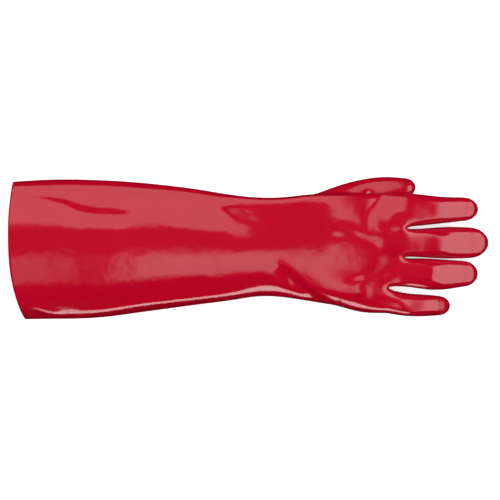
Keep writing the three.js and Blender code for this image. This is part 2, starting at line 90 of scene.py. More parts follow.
# Shares of the named size that each length follows, as on the solid model. top is the back's highest line, the two
# folds are the heights of the sleeve's side folds, and hollow draws the palm up over the thumb.
SLEEVE_TABLE = [
    # along, width of, thumb side, little side, height of, top, thumb fold, little fold, sag, hollow
    (0.0, CUFF_WIDTH, 0.495, -0.506, CUFF_HEIGHT, 1.0, 0.44, 0.24, 0.06, 0),
    (0.1, CUFF_WIDTH, 0.51, -0.503, CUFF_HEIGHT, 0.99, 0.43, 0.24, 0.07, 0),
    (0.228, CUFF_WIDTH, 0.506, -0.493, CUFF_HEIGHT, 0.96, 0.42, 0.23, 0.07, 0),
    (0.329, CUFF_WIDTH, 0.488, -0.456, CUFF_HEIGHT, 0.93, 0.41, 0.23, 0.06, 0),
    (0.404, CUFF_WIDTH, 0.466, -0.427, CUFF_HEIGHT, 0.9, 0.4, 0.23, 0.05, 0),
    (0.481, WRIST_WIDTH, 0.613, -0.557, WRIST_HEIGHT, 1.06, 0.49, 0.29, 0.06, 0),
    (0.557, WRIST_WIDTH, 0.562, -0.518, WRIST_HEIGHT, 1.01, 0.49, 0.3, 0.05, 0),
    (0.633, WRIST_WIDTH, 0.5315, -0.476, WRIST_HEIGHT, 1.0, 0.5, 0.31, 0.04, 0.1),
    (0.6965, WRIST_WIDTH, 0.536, -0.483, WRIST_HEIGHT, 1.02, 0.54, 0.32, 0.03, 0.3),
    (0.76, HAND_WIDTH, 0.46, -0.4185, HAND_HEIGHT, 0.95, 0.55, 0.31, 0.02, 0.7),
    (0.823, HAND_WIDTH, 0.464, -0.446, HAND_HEIGHT, 0.95, 0.6, 0.33, 0, 1),
    (0.886, HAND_WIDTH, 0.464, -0.474, HAND_HEIGHT, 0.935, 0.64, 0.36, -0.03, 1),
    (0.95, HAND_WIDTH, 0.468, -0.51, HAND_HEIGHT, 0.905, 0.63, 0.37, -0.08, 1),
    (1.0, HAND_WIDTH, 0.4713, -0.5285, HAND_HEIGHT, 0.88, 0.6, 0.38, -0.12, 1),
]
sleeve_at = smooth_curves(
    ["thumb_side", "little_side", "top", "thumb_fold", "little_fold", "sag", "hollow"],
    [
        (along, wide * thumb, wide * little, high * top, high * thumb_fold, high * little_fold, high * sag, hollow)
        for along, wide, thumb, little, high, top, thumb_fold, little_fold, sag, hollow in SLEEVE_TABLE
    ],
)

# Along each finger, as shares of its length, width and thickness: along, drift, width, rise, thickness.
FINGER_TABLES = {
    "little": [(0, 0, 1, 0.78, 1), (0.33, -0.14, 0.927, 0.75, 0.98), (0.78, -0.19, 0.867, 0.56, 0.92),
               (1, -0.2, 0.79, 0.41, 0.83)],
    "ring": [(0, 0, 1, 0.83, 1), (0.3, -0.01, 1.05, 0.78, 0.99), (0.57, -0.075, 1.12, 0.67, 0.95),
             (1, -0.05, 0.942, 0.42, 0.83)],
    "middle": [(0, 0, 1, 0.86, 1), (0.28, 0, 1.07, 0.8, 0.99), (0.55, 0.005, 1.16, 0.67, 0.95),
               (1, 0.005, 1.15, 0.41, 0.81)],
    "index": [(0, 0, 1, 0.98, 1), (0.28, 0, 0.9125, 0.92, 0.99), (0.6, 0, 0.794, 0.8, 0.95),
              (1, 0.03, 0.7, 0.59, 0.81)],
}
side = HAND_SHIFT - HAND_WIDTH / 2
for finger in FINGERS:
    finger["middle"] = side + finger["width"] / 2
    finger["at"] = smooth_curves(["drift", "width", "rise", "thickness"], FINGER_TABLES[finger["name"]])
    side += finger["width"] + FINGER_GAP


def lerp(a, b, share):
    return a + (b - a) * share


def smooth(value, low, high):
    share = np.clip((value - low) / (high - low), 0, 1)
    return share * share * share * (share * (share * 6 - 15) + 10)


def bulge(across, round_):
    return np.maximum(0, 1 - np.abs(across) ** round_) ** (1 / round_)


# A ring runs over the back to the thumb's side, down it, along the underside and up the little finger's side.
BACK_CELLS = 6  # faces across one finger's back
SIDE_CELLS = 4  # and down one side
BACK_END = 30  # degrees above level at which a finger's back turns into its side
FINGER_ROUND = 2.8  # superellipse exponent of a free finger's section
ROUND_FROM = 0.5  # share of a finger's length at which it has that section
ring_degrees = np.concatenate([
    np.linspace(180 - BACK_END, BACK_END, BACK_CELLS + 1),
    np.linspace(BACK_END, -BACK_END, SIDE_CELLS + 1)[1:-1],
    np.linspace(-BACK_END, BACK_END - 180, BACK_CELLS + 1),
    np.linspace(BACK_END - 180, -BACK_END - 180, SIDE_CELLS + 1)[1:-1],
])


def finger_section(finger, along):
    f = finger["at"](along)
    ring = np.radians(ring_degrees)
    power = 2 / lerp(2, FINGER_ROUND, smooth(along, 0, ROUND_FROM))
    out = np.sign(np.cos(ring)) * np.abs(np.cos(ring)) ** power
    up = np.sign(np.sin(ring)) * np.abs(np.sin(ring)) ** power
    middle = finger["middle"] + f["drift"] * finger["width"]
    return np.column_stack([
        middle + out * f["width"] * finger["width"] / 2,
        f["rise"] * finger["thickness"] + up * f["thickness"] * finger["thickness"] / 2,
    ])


BACK_POINTS = len(FINGERS) * BACK_CELLS + 1
SIDE_POINTS = SIDE_CELLS - 1
RING_POINTS = 2 * BACK_POINTS + 2 * SIDE_POINTS
UNDER_START = BACK_CELLS + 1 + SIDE_POINTS
fork_x = [SLEEVE_LENGTH - LITTLE_SETBACK, SLEEVE_LENGTH - WEB_DEPTH, SLEEVE_LENGTH]
root_sections = [finger_section(finger, 0) for finger in FINGERS]


def root_point(column, under):
    """The point of the finger roots at a place across the back, or across the underside."""
    number = min(column // BACK_CELLS, len(FINGERS) - 1)
    cell = column - number * BACK_CELLS
    index = (lambda c: UNDER_START + BACK_CELLS - c) if under else (lambda c: c)
    own = root_sections[number][index(cell)]
    if cell == 0 and number > 0:
        return (own + root_sections[number - 1][index(BACK_CELLS)]) / 2
    return own


def ring_place(column, part, k=0):
    place = column / BACK_CELLS - 1
    low = min(max(math.floor(place), 0), len(fork_x) - 2)
    if part == "thumb side":
        root = root_sections[-1][BACK_CELLS + k]
    elif part == "little side":
        root = root_sections[0][UNDER_START + BACK_CELLS + k]
    else:
        root = root_point(column, part == "under")
    on_fork = column % BACK_CELLS == 0 and 0 < column < BACK_POINTS - 1
    x = lerp(fork_x[low], fork_x[low + 1], smooth(place - low, 0, 1)) - (WEB_DEPTH if on_fork else 0)
    across = (root[0] - HAND_SHIFT) / (HAND_WIDTH / 2)
    return {"column": column, "part": part, "k": k, "root": root, "across": across, "fork_x": x}


ring_places = [ring_place(column, "back") for column in range(BACK_POINTS)]
ring_places += [ring_place(BACK_POINTS - 1, "thumb side", k + 1) for k in range(SIDE_POINTS)]
ring_places += [ring_place(column, "under") for column in reversed(range(BACK_POINTS))]
ring_places += [ring_place(0, "little side", k + 1) for k in range(SIDE_POINTS)]

BACK_ROUND = 2.3  # superellipse exponents of the sleeve's section: back, flattened underside, and hollow palm
UNDER_ROUND = 3.0
HOLLOW_ROUND = 1.45
HOLLOW_ACROSS = 0.1, 0.6  # the palm hollows out over this share of its half-width, towards the thumb
SIDE_FROM = 0.965  # share of the half-width at which the back turns into the side
CREST_SHIFT = 0.12  # the back's crest lies this far towards the thumb's side, as a share of the half-width
CREST_FADE = 0.75, 1  # along the sleeve
WRIST_ROUND = 14.0  # the back's section at the wrist, on the thumb's side, where it is flat up to the edge
WRIST_RISE = 0.51, 0.65
WRIST_FADE = 0.68, 0.98
WRIST_ACROSS = 0, 0.4


def sleeve_point(place, along):
    """The sleeve's plain section at a share of its length, as (y, z) for one place of the ring."""
    s = sleeve_at(along)
    middle = (s["thumb_side"] + s["little_side"]) / 2
    half = (s["thumb_side"] - s["little_side"]) / 2
    edge = -SIDE_FROM if place["column"] == 0 else SIDE_FROM
    on_side = place["part"] in ("thumb side", "little side")
    across = edge if on_side else min(max(place["across"], -SIDE_FROM), SIDE_FROM)
    fold = lerp(s["little_fold"], s["thumb_fold"], (across + 1) / 2)
    round_ = lerp(UNDER_ROUND, HOLLOW_ROUND, s["hollow"] * smooth(across, *HOLLOW_ACROSS))
    crest = CREST_SHIFT * (1 - smooth(along, *CREST_FADE))
    flat = smooth(along, *WRIST_RISE) * (1 - smooth(along, *WRIST_FADE)) * smooth(across, *WRIST_ACROSS)
    up = (s["top"] - fold) * bulge(across - crest * (1 - across**2), lerp(BACK_ROUND, WRIST_ROUND, flat))
    down = (fold + s["sag"]) * bulge(across, round_)
    if place["part"] == "back":
        return middle + across * half, fold + up
    if place["part"] == "under":
        return middle + across * half, fold - down
    share = place["k"] / SIDE_CELLS
    drop = share if place["part"] == "thumb side" else 1 - share
    out = math.sqrt(1 - (2 * drop - 1) ** 2)
    return middle + edge * half * lerp(1, 1 / abs(edge), out), fold + lerp(up, -down, drop)


CUFF_SKEW = 14.0  # how far the cut edge runs back at the little finger's side
THUMB_SKEW = 0.24 * CUFF_SKEW  # and at the thumb's side
CUT_CREST = 0.28  # where the edge reaches furthest, as a share of the half-width
THUMB_BEND = 2  # exponents of the edge's curve on its two sides
LITTLE_BEND = 2.6


def cuff_cut(place):
    """How far back the cuff is cut: most at the little finger's side, least at the crest of the back."""
    if place["part"] != "back":
        return lerp(CUFF_SKEW, THUMB_SKEW, (place["across"] + 1) / 2)
    away = place["across"] - CUT_CREST
    share = abs(away) / (1 + np.sign(-away) * CUT_CREST)
    return THUMB_SKEW * share**THUMB_BEND if away > 0 else CUFF_SKEW * share**LITTLE_BEND


points = []
faces = []


def add_point(x, y, z):
    points.append((x, y, max(z, 0)))
    return len(points) - 1


def join_rings(a, b):
    faces.extend((a[i], b[i], b[(i + 1) % len(a)], a[(i + 1) % len(a)]) for i in range(len(a)))


# The sleeve and the hand, which end in the roots of the fingers. The palm keeps a hole for the thumb.
SLEEVE_ROWS = 24  # rings from the cuff to the heel of the hand
HAND_ROWS = 26  # and on to the finger forks
HAND_FROM = 17 / 30  # where the heel of the hand starts, as a share of SLEEVE_LENGTH
THUMB_FIRST_ROW = SLEEVE_ROWS + 12  # the thumb leaves the palm between these rows
THUMB_LAST_ROW = SLEEVE_ROWS + 20
LOBES_FROM = 0.84  # the fingers start to show here: across the hand, in the height of its back, and underneath
KNUCKLES_FROM = 0.915
UNDER_LOBES_FROM = 0.89
FORKS_FROM = 0.55  # the rings start to bend towards the forks here
CUT_FADE = 0.16  # and follow the cuff's cut edge up to here
shares = np.concatenate([
    np.linspace(0, HAND_FROM, SLEEVE_ROWS + 1)[:-1],
    np.linspace(HAND_FROM, 1, HAND_ROWS + 1),
])
hole_first = BACK_POINTS + SIDE_POINTS - 1
hole_last = hole_first + BACK_CELLS
sleeve_rows = []
for row, along in enumerate(shares):
    back_lobes = smooth(along, LOBES_FROM, 1)
    back_knuckles = smooth(along, KNUCKLES_FROM, 1)
    under_lobes = smooth(along, UNDER_LOBES_FROM, 1)
    ring = []
    for i, place in enumerate(ring_places):
        if THUMB_FIRST_ROW < row < THUMB_LAST_ROW and hole_first < i < hole_last:
            ring.append(-1)
            continue
        plain = sleeve_point(place, along)
        cut = cuff_cut(place) * (1 - smooth(along, 0, CUT_FADE))
        x = along * SLEEVE_LENGTH + cut + smooth(along, FORKS_FROM, 1) * (place["fork_x"] - SLEEVE_LENGTH)
        y = lerp(plain[0], place["root"][0], back_lobes)
        rising = {"under": under_lobes, "back": back_knuckles}.get(place["part"], back_lobes)
        z = lerp(plain[1], place["root"][1], rising)
        ring.append(add_point(x, y, z))
    sleeve_rows.append(ring)
for row in range(len(shares) - 1):
    a, b = sleeve_rows[row], sleeve_rows[row + 1]
    for i in range(RING_POINTS):
        if not (hole_first <= i < hole_last and THUMB_FIRST_ROW <= row < THUMB_LAST_ROW):
            faces.append((a[i], b[i], b[(i + 1) % RING_POINTS], a[(i + 1) % RING_POINTS]))

webs = []
for fork, x in enumerate(fork_x):
    web = []
    for k in range(SIDE_POINTS):
        upper = root_sections[fork][BACK_CELLS + 1 + k]
        lower = root_sections[fork + 1][UNDER_START + BACK_CELLS + SIDE_POINTS - k]
        web.append(add_point(x, *((upper + lower) / 2)))
    webs.append(web)


def root_ring(number):
    """The first ring of a finger, out of the hand's last ring and the webs beside it."""
    last = sleeve_rows[-1]
    back = last[number * BACK_CELLS : (number + 1) * BACK_CELLS + 1]
    first = BACK_POINTS + SIDE_POINTS + (len(FINGERS) - 1 - number) * BACK_CELLS
    under = last[first : first + BACK_CELLS + 1]
    thumb_side = webs[number] if number < len(webs) else last[BACK_POINTS : BACK_POINTS + SIDE_POINTS]
    little_side = webs[number - 1][::-1] if number else last[2 * BACK_POINTS + SIDE_POINTS :]
    return back + thumb_side + under + little_side


def close_tip(ring, across, down, middle, half_width, half_height, reach, flip):
    """Fills a tip's last ring with a small curved patch of faces."""
    count = len(ring)
    at = lambda i: np.array(points[ring[i % count]])
    grid = []
    for m in range(down + 1):
        line = []
        for j in range(across + 1):
            if m == 0:
                line.append(ring[j])
            elif m == down:
                line.append(ring[2 * across + down - j])
            elif j == 0:
                line.append(ring[(count - m) % count])
            elif j == across:
                line.append(ring[across + m])
            else:
                p = lerp(at(j), at(2 * across + down - j), m / down)
                p = (p + lerp(at(count - m), at(across + m), j / across)) / 2
                off = math.hypot((p[1] - middle[1]) / half_width, (p[2] - middle[2]) / half_height)
                line.append(add_point(middle[0] + reach * bulge(min(off, 1), 2), p[1], p[2]))
        grid.append(line)
    for m in range(down):
        for j in range(across):
            corners = (grid[m][j], grid[m + 1][j], grid[m + 1][j + 1], grid[m][j + 1])
            faces.append(corners[::-1] if flip else corners)


# The four fingers, each out of its root ring, with a rounded tip.
FINGER_ROWS = 10
TIP_ROUNDS = [0.95, 0.82, 0.6, 0.34]  # sizes of a tip's rings, as shares of the finger's end
for number, finger in enumerate(FINGERS):
    root = root_ring(number)
    tip_base = SLEEVE_LENGTH - finger["setback"] + finger["length"] - finger["tip"]
    last = root
    for row in range(1, FINGER_ROWS + 1):
        along = row / FINGER_ROWS
        section = finger_section(finger, along)
        ring = [add_point(lerp(points[root[i]][0], tip_base, along), y, z) for i, (y, z) in enumerate(section)]
        join_rings(last, ring)
        last = ring
    end = finger["at"](1)
    middle = (tip_base, finger["middle"] + end["drift"] * finger["width"], end["rise"] * finger["thickness"])
    for round_ in TIP_ROUNDS:
        x = tip_base + finger["tip"] * bulge(round_, 2)
        ring = [add_point(x, lerp(middle[1], y, round_), lerp(middle[2], z, round_)) for y, z in section]
        join_rings(last, ring)
        last = ring
    half = (end["width"] * finger["width"] / 2, end["thickness"] * finger["thickness"] / 2)
    close_tip(last, BACK_CELLS, SIDE_CELLS, middle, *half, finger["tip"], False)

# The thumb leaves through a four-sided hole in the palm's underside and lies under the index finger's side of the
# hand. It rolls outwards, so its crest lies under the hand.
THUMB = {"width": 25.0, "length": 41.5, "thickness": 17.0, "tip": 10.0}
THUMB_LEAN = 0.25
THUMB_TURN = 10  # degrees by which the net is turned round the thumb, against the hole
THUMB_WEB = 6.0
THUMB_ROOT_ROWS = 4
THUMB_ROWS = 5
THUMB_EASINGS = 4
thumb_at = smooth_curves(
    ["middle", "width", "rise", "thickness"],
    [(0, 0.493, 1, 0.5, 1), (0.4, 0.508, 0.96, 0.5, 0.99), (0.75, 0.515, 0.83, 0.5, 0.95), (1, 0.52, 0.71, 0.48, 0.9)],
)
hole_rows = THUMB_LAST_ROW - THUMB_FIRST_ROW
hole = [sleeve_rows[THUMB_FIRST_ROW + r][hole_first] for r in range(hole_rows)]
hole += [sleeve_rows[THUMB_LAST_ROW][hole_first + c] for c in range(BACK_CELLS)]
hole += [sleeve_rows[THUMB_FIRST_ROW + r][hole_last] for r in range(hole_rows, 0, -1)]
hole += [sleeve_rows[THUMB_FIRST_ROW][hole_first + c] for c in range(BACK_CELLS, 0, -1)]
corners = np.cumsum([0, hole_rows, BACK_CELLS, hole_rows, BACK_CELLS])
hole_degrees = THUMB_TURN + np.interp(np.arange(len(hole)), corners, [0, 80, 180, 260, 360])


def thumb_section(along):
    t = thumb_at(along)
    ring = np.radians(hole_degrees)
    return np.column_stack([
        t["middle"] * HAND_WIDTH + np.cos(ring) * t["width"] * THUMB["width"] / 2,
        t["rise"] * THUMB["thickness"] + np.sin(ring) * t["thickness"] * THUMB["thickness"] / 2
        - THUMB_LEAN * np.cos(ring) * t["width"] * THUMB["width"] / 2,
    ])


first_thumb_point = len(points)
thumb_rings = [hole]
free_x = shares[THUMB_LAST_ROW] * SLEEVE_LENGTH + THUMB_WEB
tip_base = free_x + THUMB["length"] - THUMB["tip"]
free = thumb_section(0)
last = hole
for row in range(1, THUMB_ROOT_ROWS + 1):
    share = row / THUMB_ROOT_ROWS
    swell = math.sin(share * math.pi / 2)
    ring = []
    for start, (y, z) in zip(hole, free):
        x0, y0, z0 = points[start]
        ring.append(add_point(lerp(x0, free_x, share), lerp(y0, y, swell), lerp(z0, z, swell)))
    join_rings(ring, last)
    thumb_rings.append(ring)
    last = ring
for row in range(1, THUMB_ROWS + 1):
    along = row / THUMB_ROWS
    ring = [add_point(lerp(free_x, tip_base, along), y, z) for y, z in thumb_section(along)]
    join_rings(ring, last)
    thumb_rings.append(ring)
    last = ring
for _ in range(THUMB_EASINGS):  # the thumb's root runs smoothly into its free part
    before = list(points)
    for a, ring, b in zip(thumb_rings, thumb_rings[1:-1], thumb_rings[2:]):
        for i, own in enumerate(ring):
            middle_point = (np.array(before[a[i]]) + np.array(before[b[i]])) / 2
            points[own] = tuple(lerp(np.array(before[own]), middle_point, 0.5))
end = thumb_at(1)
middle = (tip_base, end["middle"] * HAND_WIDTH, end["rise"] * THUMB["thickness"])
for round_ in TIP_ROUNDS:
    x = tip_base + THUMB["tip"] * bulge(round_, 2)
    ring = [add_point(x, lerp(middle[1], y, round_), lerp(middle[2], z, round_)) for y, z in thumb_section(1)]
    join_rings(ring, last)
    last = ring
half = (end["width"] * THUMB["width"] / 2, end["thickness"] * THUMB["thickness"] / 2)
close_tip(last, hole_rows, BACK_CELLS, middle, *half, THUMB["tip"], True)

# The net is smoothed twice. The first smoothing carries the knitted inside, and the second the coat's outside.
net = bpy.data.meshes.new("gauntlet_net")
net.from_pydata(points, [], faces)
is_thumb = net.attributes.new("thumb", "FLOAT", "POINT")
is_thumb.data.foreach_set("value", [float(i >= first_thumb_point) for i in range(len(points))])
net_object = bpy.data.objects.new("gauntlet_net", net)
bpy.context.scene.collection.objects.link(net_object)


def evaluated(obj):
    """The object's mesh with its modifiers: points, corners of its faces, and each point's share of the thumb."""
    bpy.context.view_layer.update()
    done = obj.evaluated_get(bpy.context.evaluated_depsgraph_get())
    mesh = done.to_mesh()
    co = np.empty(len(mesh.vertices) * 3)
    mesh.vertices.foreach_get("co", co)
    corner = np.empty(len(mesh.loops), dtype=int)
    mesh.loops.foreach_get("vertex_index", corner)
    share = np.empty(len(mesh.vertices))
    mesh.attributes["thumb"].data.foreach_get("value", share)
    done.to_mesh_clear()
    return co.reshape(-1, 3), corner.reshape(-1, 4), share


def add_smoothing(obj, name):
    smoothing = obj.modifiers.new(name, "SUBSURF")
    smoothing.levels = smoothing.render_levels = 1
    smoothing.use_limit_surface = False


add_smoothing(net_object, "first")
_, inner_faces, _ = evaluated(net_object)
add_smoothing(net_object, "second")
skin, outer_faces, thumb_share = evaluated(net_object)
inner_count = inner_faces.max() + 1
bpy.data.objects.remove(net_object)
bpy.data.meshes.remove(net)

# The skin takes the solid model's place exactly, in the row frame, still in millimetres.
solid_low, solid_high = (np.array(corner) * 1000 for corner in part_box("coated_shell"))
skin_low, skin_high = skin.min(axis=0), skin.max(axis=0)
skin = solid_low + (skin - skin_low) * (solid_high - solid_low) / (skin_high - skin_low)


def point_normals(co, quads):
    a, b, c, d = (co[quads[:, i]] for i in range(4))
    area = np.cross(c - a, d - b)
    normals = np.zeros_like(co)
    for i in range(4):
        np.add.at(normals, quads[:, i], area)
    return normals / np.linalg.norm(normals, axis=1, keepdims=True)


# The folds, dents and creases that the soft coat keeps, in millimetres in the row frame. Each runs along a smooth
# path. Its lift is the height at the middle line, and it fades over one reach on the left of the path and another
# on the right, seen from above.
FOLDS = [
    # name, path, lift, left reach, right reach
    ("valley below the thumb's edge", [(-256.8, 49.8), (-223.0, 47.0), (-189.2, 42.3), (-153.5, 34.7)], -2.3, 6.5, 8),
    ("second valley", [(-177.9, 32.9), (-145.0, 31.0), (-108.4, 29.1)], -1.2, 6, 7),
    ("valley before the wrist", [(-85.9, 45.1), (-50.2, 39.4), (-20.1, 31.0), (11.8, 18.8)], -1.8, 7.5, 13),
    ("crease along the little finger's side",
     [(-192.0, -64.8), (-176.1, -63.9), (-150.7, -62.7), (-129.5, -59.9), (-107.0, -55.4),
      (-84.5, -52.6), (-54.9, -49.5), (-12.6, -44.6), (4.3, -42.3)],
     1.9, 6, 4),
    ("ridge at the cuff's corner", [(-213.6, -58.3), (-204.2, -56.4), (-191.1, -60.1), (-172.3, -64.8)], 1.1, 4, 3.2),
    ("tuck below the wrist", [(26.9, -16.9), (40.0, -29.1), (52.2, -39.5), (64.5, -47.9), (77.6, -54.5)], -2.7, 4, 8),
    ("swell of the hand's little side", [(38.2, -51.7), (66.3, -49.8), (94.5, -53.6), (132.1, -59.2), (179.1, -65.8)],
     4.3, 21, 8),
    ("ridge of the hand's back", [(66.3, 20.7), (89.8, 18.8), (115.2, 15.0), (139.6, 16.9)], 1.7, 17, 24),
    ("crescent before the index knuckle", [(132.1, 50.7), (119.9, 44.1), (111.4, 32.9), (110.0, 23.5), (116.1, 10.3)],
     -0.45, 6, 4),
    ("filled fork of the index", [(145.3, 17.8)], 4.0, 16, 7.2),
    ("knuckle of the index", [(140.6, 22.5)], 1.9, 26, 19),
    ("middle knuckle", [(134.0, 8.4)], 1.0, 14, 12),
    ("filled fork of the middle finger", [(140.6, -9.4)], 4.0, 18, 8),
    ("filled fork of the ring finger", [(123.6, -37.6)], 5.6, 19, 7.5),
    ("ridge to the little finger", [(94.5, -32.0), (116.1, -29.1), (141.5, -28.2)], 0.8, 3.6, 5),
    ("fold at the little finger's root", [(113.3, -43.2), (133.0, -46.1), (149.0, -56.4)], 0.6, 4.5, 3.6),
    ("dimple of the hand", [(82.3, 10.3)], -0.3, 5, 3.6),
    ("streak of the hand", [(90.8, 13.1), (108.6, 7.5), (124.6, -1.9)], -0.4, 4, 5),
    ("bend of the index tip", [(181.0, 23.5), (180.0, 34.7), (180.0, 47.9)], 0.9, 10.5, 4.6),
    ("bend of the middle tip", [(181.0, -7.5), (182.4, 2.8), (182.8, 14.1)], 2.0, 13, 6.5),
    ("bend of the ring tip", [(170.6, -33.8), (172.5, -25.4), (173.4, -14.1)], 1.8, 10, 8.5),
    ("droop of the index tip", [(214.8, 34.7)], -0.6, 12, 11),
    ("droop of the middle tip", [(220.4, 2.8)], -0.9, 14, 13),
    ("droop of the ring tip", [(212.9, -23.5)], -0.6, 12, 11),
    ("bend of the little tip", [(175.3, -63.0), (175.3, -53.6), (174.4, -43.2)], 3.2, 16, 7),
]
END_FADE = -0.15, 0.3  # a fold rises over this share of its path, from both ends
PATH_STEP = 3  # millimetres between the points of a path
FACES_UP = 0.05, 0.6  # the folds lift what faces up: upright parts of the normals where they start and are whole


def path_points(path):
    """Points every few millimetres on a smooth path through the given ones."""
    path = np.array(path, dtype=float)
    if len(path) < 3:
        return path
    run = np.concatenate([[0], np.cumsum(np.linalg.norm(np.diff(path, axis=0), axis=1))])
    curve = smooth_curves(["x", "y"], np.column_stack([run, path]))
    return np.array([list(curve(s).values()) for s in np.linspace(0, run[-1], max(4, int(run[-1] / PATH_STEP)))])


def fold_lift(x, y):
    """How far the folds lift the back at points seen from above."""
    total = np.zeros_like(x)
    for _, path, lift, left, right in FOLDS:
        line = path_points(path)
        reach = 3 * max(left, right)
        near = (x > line[:, 0].min() - reach) & (x < line[:, 0].max() + reach)
        near &= (y > line[:, 1].min() - reach) & (y < line[:, 1].max() + reach)
        px, py = x[near], y[near]
        if len(line) == 1:
            total[near] += lift * np.exp(-((px - line[0, 0]) / left) ** 2 - ((py - line[0, 1]) / right) ** 2)
            continue
        best = np.full(px.shape, np.inf)
        share, turn = np.zeros_like(px), np.zeros_like(px)
        lengths = np.linalg.norm(np.diff(line, axis=0), axis=1)
        before = np.concatenate([[0], np.cumsum(lengths)])
        for i, length in enumerate(lengths):
            tangent = (line[i + 1] - line[i]) / length
            dx, dy = px - line[i, 0], py - line[i, 1]
            s = np.clip(dx * tangent[0] + dy * tangent[1], 0, length)
            ox, oy = dx - s * tangent[0], dy - s * tangent[1]
            away = np.hypot(ox, oy)
            closer = away < best
            best = np.where(closer, away, best)
            share = np.where(closer, (before[i] + s) / before[-1], share)
            turn = np.where(closer, (tangent[0] * oy - tangent[1] * ox) / np.maximum(away, 1e-6), turn)
        width = (left + right) / 2 + (left - right) / 2 * turn
        fade = smooth(share, *END_FADE) * smooth(1 - share, *END_FADE)
        total[near] += lift * fade * np.exp(-((best / width) ** 2))
    return total


skin_normals = point_normals(skin, outer_faces)
facing_up = smooth(skin_normals[:, 2], *FACES_UP) * (1 - thumb_share)
skin[:, 2] += fold_lift(skin[:, 0], skin[:, 1]) * facing_up
skin_normals = point_normals(skin, outer_faces)

# The wall: the liner is bonded inside the coat, so the inside is set in from the outside by the wall's thickness.
# Where the forks are too tight for it, its way in is shared out between neighbours.
WALL = 1.4  # liner and coat together
WALL_EASINGS = 6
inward = -WALL * skin_normals[:inner_count]
edges = np.concatenate([inner_faces[:, [i, (i + 1) % 4]] for i in range(4)])
for _ in range(WALL_EASINGS):
    total = np.zeros_like(inward)
    count = np.zeros(inner_count)
    np.add.at(total, edges[:, 0], inward[edges[:, 1]])
    np.add.at(count, edges[:, 0], 1)
    np.add.at(total, edges[:, 1], inward[edges[:, 0]])
    np.add.at(count, edges[:, 1], 1)
    inward = 0.5 * inward + 0.5 * total / count[:, None]
inside = skin[:inner_count] + inward


def border_loop(quads):
    """The open edge of a mesh as a loop of points, in the order of its faces."""
    sides = np.concatenate([quads[:, [i, (i + 1) % 4]] for i in range(4)])
    forward = {(a, b) for a, b in sides.tolist()}
    after = {a: b for a, b in forward if (b, a) not in forward}
    start = min(after)
    loop = [start]
    while after[loop[-1]] != start:
        loop.append(after[loop[-1]])
    return loop


# The cut edge of the cuff: a thin lip of coat, and the knit's cut edge inside it.
COAT_SHARE = 0.45  # how much of the wall is coat
outer_rim = border_loop(outer_faces)
inner_rim = border_loop(inner_faces)
offset = outer_rim.index(inner_rim[0])
outer_rim = outer_rim[offset:] + outer_rim[:offset]
ways = {a: inward[a] for a in inner_rim}
rim_ways = []
for i, a in enumerate(outer_rim):
    if a in ways:
        rim_ways.append(ways[a])
    else:
        rim_ways.append((ways[outer_rim[i - 1]] + ways[outer_rim[(i + 1) % len(outer_rim)]]) / 2)
rim_ways = np.array(rim_ways)
rim_ways[:, 0] = 0
inside[inner_rim, 0] = skin[inner_rim, 0]
lip = skin[outer_rim] + rim_ways * COAT_SHARE
lip_first = len(skin) + len(inside)
all_points = np.concatenate([skin, inside, lip]) / 1000
all_faces = outer_faces.tolist()
for i, a in enumerate(outer_rim):
    j = (i + 1) % len(outer_rim)
    all_faces.append([outer_rim[j], a, lip_first + i, lip_first + j])
coat_faces = len(all_faces)
for i, a in enumerate(inner_rim):
    b = inner_rim[(i + 1) % len(inner_rim)]
    lip_a, lip_between, lip_b = (lip_first + (2 * i + k) % len(outer_rim) for k in range(3))
    all_faces.append([lip_a, len(skin) + a, lip_between])
    all_faces.append([lip_between, len(skin) + a, len(skin) + b])
    all_faces.append([lip_between, len(skin) + b, lip_b])
all_faces += (inner_faces[:, ::-1] + len(skin)).tolist()

gauntlet_mesh = bpy.data.meshes.new("gauntlet")
gauntlet_mesh.from_pydata(all_points.tolist(), [], all_faces)
gauntlet_mesh.polygons.foreach_set("use_smooth", [True] * len(all_faces))
gauntlet_mesh.polygons.foreach_set("material_index", [0] * coat_faces + [1] * (len(all_faces) - coat_faces))
gauntlet_mesh.update()
gauntlet = bpy.data.objects.new("gauntlet", gauntlet_mesh)
bpy.context.scene.collection.objects.link(gauntlet)


def new_material(name):
    material = bpy.data.materials.new(name)
    material.use_nodes = True
    tree = material.node_tree
    return material, tree, tree.nodes["Principled BSDF"]


def add_node(tree, kind, inputs=None, **settings):
    node = tree.nodes.new(kind)
    for key, value in settings.items():
        setattr(node, key, value)
    for key, value in (inputs or {}).items():
        if isinstance(value, bpy.types.NodeSocket):
            tree.links.new(value, node.inputs[key])
        else:
            node.inputs[key].default_value = value
    return node


# The coat: soft red PVC, glossy but not polished. Its colour and gloss are slightly cloudy, and its skin has a fine
# orange peel on slight waves, as a dipped coat dries over a knit. Scales are in patches to a metre.
DEEP_RED = (0.44, 0.0008, 0.0145, 1)
CLEAR_RED = (0.5, 0.0012, 0.0185, 1)
COAT_GLOSS = 0.08, 0.12  # roughness, least and most
COAT_IOR = 1.5
CLOUD_SCALE = 22.0
GLOSS_SCALE = 60.0
PEEL_SCALE = 350.0
WAVE_SCALE = 45.0
PEEL_SHARE = 0.05  # height of the orange peel against the waves
COAT_RELIEF = 0.0004
coat, tree, shader = new_material("pvc_coat")
place = add_node(tree, "ShaderNodeTexCoord").outputs["Object"]
cloudy = add_node(tree, "ShaderNodeTexNoise", {"Vector": place, "Scale": CLOUD_SCALE, "Detail": 3.0})
colour = add_node(tree, "ShaderNodeMix", {"Factor": cloudy.outputs["Fac"], "A": DEEP_RED, "B": CLEAR_RED},
                  data_type="RGBA")
tree.links.new(colour.outputs["Result"], shader.inputs["Base Color"])
satin = add_node(tree, "ShaderNodeTexNoise", {"Vector": place, "Scale": GLOSS_SCALE, "Detail": 2.0})
